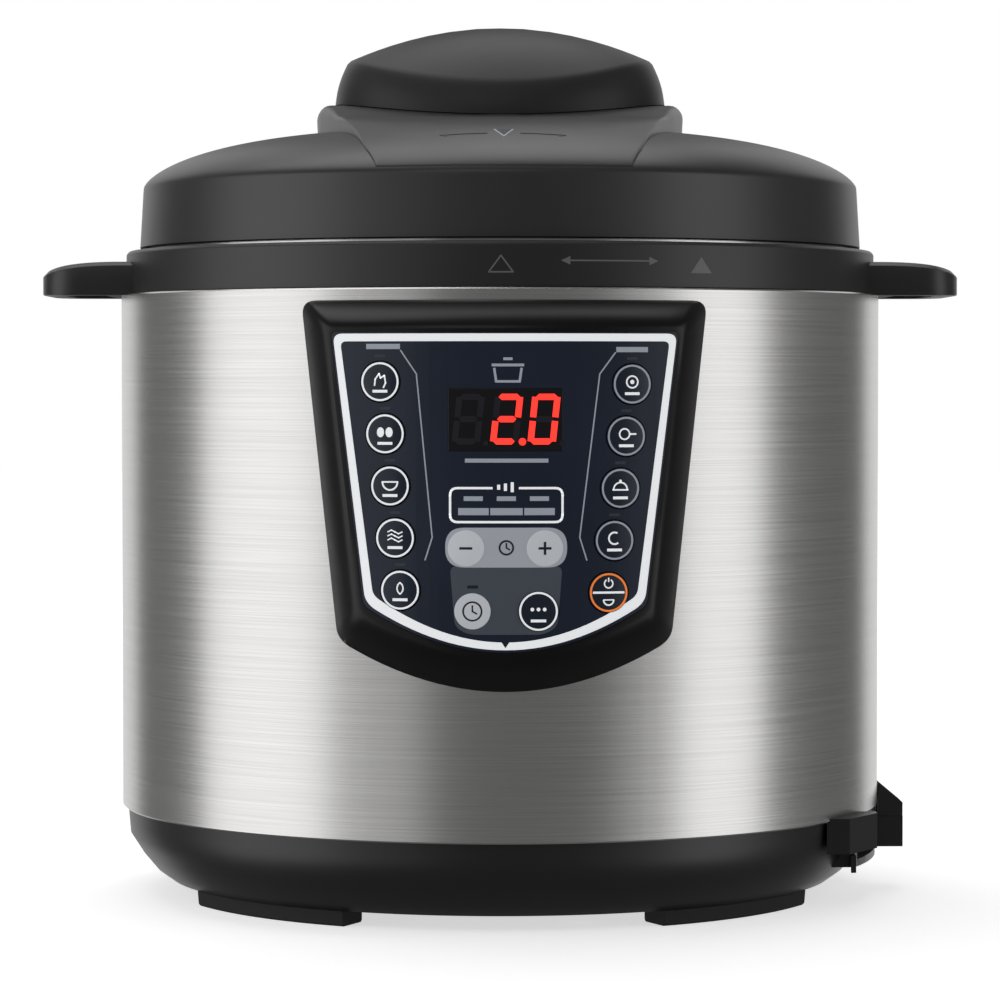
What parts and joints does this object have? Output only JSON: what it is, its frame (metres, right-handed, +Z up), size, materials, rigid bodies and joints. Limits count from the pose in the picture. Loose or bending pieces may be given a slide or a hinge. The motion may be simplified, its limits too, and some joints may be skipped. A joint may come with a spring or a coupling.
{
  "type": "electric pressure cooker",
  "caption": "Electric pressure cooker with a twist-lock lid, a lift-out pot, a steel-clad body and a curved front keypad with a display.",
  "frame": {"origin": "on the surface that the feet stand on, under the middle of the object's box, on the body's axis", "axes": "+Z up, the control panel faces -Y, +X is to the right of someone who looks at the panel"},
  "size_m": [0.326, 0.3002, 0.3098],
  "materials": {
    "brushed_steel": "fine horizontal brushing, satin",
    "collar_plastic": "fine-grained black plastic",
    "base_plastic": "satin black plastic",
    "foot_rubber": "matt black rubber",
    "screw_steel": "plated screw heads",
    "zinc_steel": "zinc plated",
    "pot_aluminium": "spun aluminium",
    "cast_aluminium": "cast and turned",
    "ceramic": "glazed ceramic",
    "spring_steel": "drawn wire",
    "sensor_aluminium": "drawn cap",
    "switch_plastic": "phenolic plastic",
    "circuit_board": "green solder mask",
    "bezel_plastic": "polished black plastic",
    "overlay_film": "printed navy film",
    "window_plastic": "dark tinted window",
    "pin_brass": "nickel plated brass",
    "silicone": "translucent silicone",
    "clear_plastic": "clear plastic",
    "pot_coating": "dark non-stick coating",
    "lid_steel": "pressed stainless steel",
    "lid_plastic": "fine-grained black plastic",
    "cap_plastic": "satin dark plastic",
    "float_steel": "turned steel",
    "valve_plastic": "black plastic",
    "dark_key": "printed navy key with a pale ring",
    "light_key": "printed silver-grey key"
  },
  "bodies": {
    "housing": {"steel_sleeve": "brushed_steel", "collar": "collar_plastic", "handle_left": "collar_plastic", "handle_right": "collar_plastic", "base_shell": "base_plastic", "feet": "foot_rubber", "bottom_plate": "base_plastic", "base_screws": "screw_steel", "support_posts": "zinc_steel", "outer_pot": "pot_aluminium", "heating_plate": "cast_aluminium", "element_terminals": "ceramic", "sensor_bracket": "zinc_steel", "sensor_spring": "spring_steel", "thermal_fuse": "ceramic", "pressure_switch": "switch_plastic", "power_board": "circuit_board", "panel_bezel": "bezel_plastic", "panel_overlay": "overlay_film", "display_window": "window_plastic", "display_module": "bezel_plastic", "control_board": "circuit_board", "key_switches": "switch_plastic", "inlet_housing": "base_plastic", "inlet_pins": "pin_brass", "drain_tube": "silicone", "cup_bracket": "collar_plastic"},
    "inner_pot": {"inner_pot": "pot_coating"},
    "sealing_ring": {"sealing_ring": "silicone"},
    "lid": {"lid_cover": "lid_plastic", "lid_plate": "lid_steel", "lid_screws": "screw_steel", "handle_cap": "cap_plastic", "vent_pipe": "lid_steel", "anti_block_cover": "lid_steel"},
    "float_valve": {"float_valve": "float_steel", "float_seal": "silicone"},
    "pressure_valve": {"pressure_valve": "valve_plastic"},
    "temperature_sensor": {"sensor_cap": "sensor_aluminium"},
    "condensate_cup": {"condensate_cup": "clear_plastic"},
    "button_meat": {"button_meat": "dark_key"},
    "button_beans": {"button_beans": "dark_key"},
    "button_rice": {"button_rice": "dark_key"},
    "button_soup": {"button_soup": "dark_key"},
    "button_recipe": {"button_recipe": "dark_key"},
    "button_roast": {"button_roast": "dark_key"},
    "button_fry": {"button_fry": "dark_key"},
    "button_saute": {"button_saute": "dark_key"},
    "button_slow": {"button_slow": "dark_key"},
    "button_power": {"button_power": "dark_key"},
    "button_minus": {"button_minus": "light_key"},
    "button_plus": {"button_plus": "light_key"},
    "button_timer": {"button_timer": "light_key"},
    "button_taste": {"button_taste": "light_key"}
  },
  "joints": [
    {"name": "pot_lift", "type": "slide", "parent": "housing", "child": "inner_pot", "axis": [0, 0, 1], "range_m": [0, 0.18]},
    {"name": "lid_lift", "type": "slide", "parent": "inner_pot", "child": "sealing_ring", "axis": [0, 0, 1], "range_m": [0, 0.12]},
    {"name": "lid_turn", "type": "hinge", "parent": "sealing_ring", "child": "lid", "pos_m": [0, 0, 0.2409], "axis": [0, 0, 1], "range_deg": [0, 33]},
    {"name": "float_valve_rise", "type": "slide", "parent": "lid", "child": "float_valve", "axis": [0, 0, 1], "range_m": [0, 0.0044]},
    {"name": "pressure_valve_turn", "type": "hinge", "parent": "lid", "child": "pressure_valve", "pos_m": [0, 0.092, 0.27], "axis": [0, 0, 1], "range_deg": [-35, 35]},
    {"name": "sensor_press", "type": "slide", "parent": "housing", "child": "temperature_sensor", "axis": [0, 0, 1], "range_m": [-0.003, 0], "stiffness_N_per_m": 600, "springref_m": 0.0005, "deforming": ["sensor_spring"]},
    {"name": "cup_pull", "type": "slide", "parent": "housing", "child": "condensate_cup", "axis": [0, 1, 0], "range_m": [0, 0.03]},
    {"name": "meat_press", "type": "slide", "parent": "housing", "child": "button_meat", "axis": [0.2743, 0.9616, 0], "range_m": [0, 0.0006], "stiffness_N_per_m": 400, "springref_m": -0.0005},
    {"name": "beans_press", "type": "slide", "parent": "housing", "child": "button_beans", "axis": [0.2634, 0.9647, 0], "range_m": [0, 0.0006], "stiffness_N_per_m": 400, "springref_m": -0.0005},
    {"name": "rice_press", "type": "slide", "parent": "housing", "child": "button_rice", "axis": [0.2524, 0.9676, 0], "range_m": [0, 0.0006], "stiffness_N_per_m": 400, "springref_m": -0.0005},
    {"name": "soup_press", "type": "slide", "parent": "housing", "child": "button_soup", "axis": [0.2415, 0.9704, 0], "range_m": [0, 0.0006], "stiffness_N_per_m": 400, "springref_m": -0.0005},
    {"name": "recipe_press", "type": "slide", "parent": "housing", "child": "button_recipe", "axis": [0.2305, 0.9731, 0], "range_m": [0, 0.0006], "stiffness_N_per_m": 400, "springref_m": -0.0005},
    {"name": "roast_press", "type": "slide", "parent": "housing", "child": "button_roast", "axis": [-0.2784, 0.9605, 0], "range_m": [0, 0.0006], "stiffness_N_per_m": 400, "springref_m": -0.0005},
    {"name": "fry_press", "type": "slide", "parent": "housing", "child": "button_fry", "axis": [-0.2654, 0.9641, 0], "range_m": [0, 0.0006], "stiffness_N_per_m": 400, "springref_m": -0.0005},
    {"name": "saute_press", "type": "slide", "parent": "housing", "child": "button_saute", "axis": [-0.2524, 0.9676, 0], "range_m": [0, 0.0006], "stiffness_N_per_m": 400, "springref_m": -0.0005},
    {"name": "slow_press", "type": "slide", "parent": "housing", "child": "button_slow", "axis": [-0.2395, 0.9709, 0], "range_m": [0, 0.0006], "stiffness_N_per_m": 400, "springref_m": -0.0005},
    {"name": "power_press", "type": "slide", "parent": "housing", "child": "button_power", "axis": [-0.2265, 0.974, 0], "range_m": [0, 0.0006], "stiffness_N_per_m": 400, "springref_m": -0.0005},
    {"name": "minus_press", "type": "slide", "parent": "housing", "child": "button_minus", "axis": [0.0865, 0.9963, 0], "range_m": [0, 0.0006], "stiffness_N_per_m": 400, "springref_m": -0.0005},
    {"name": "plus_press", "type": "slide", "parent": "housing", "child": "button_plus", "axis": [-0.0865, 0.9963, 0], "range_m": [0, 0.0006], "stiffness_N_per_m": 400, "springref_m": -0.0005},
    {"name": "timer_press", "type": "slide", "parent": "housing", "child": "button_timer", "axis": [0.0723, 0.9974, 0], "range_m": [0, 0.0006], "stiffness_N_per_m": 400, "springref_m": -0.0005},
    {"name": "taste_press", "type": "slide", "parent": "housing", "child": "button_taste", "axis": [-0.0723, 0.9974, 0], "range_m": [0, 0.0006], "stiffness_N_per_m": 400, "springref_m": -0.0005}
  ]
}
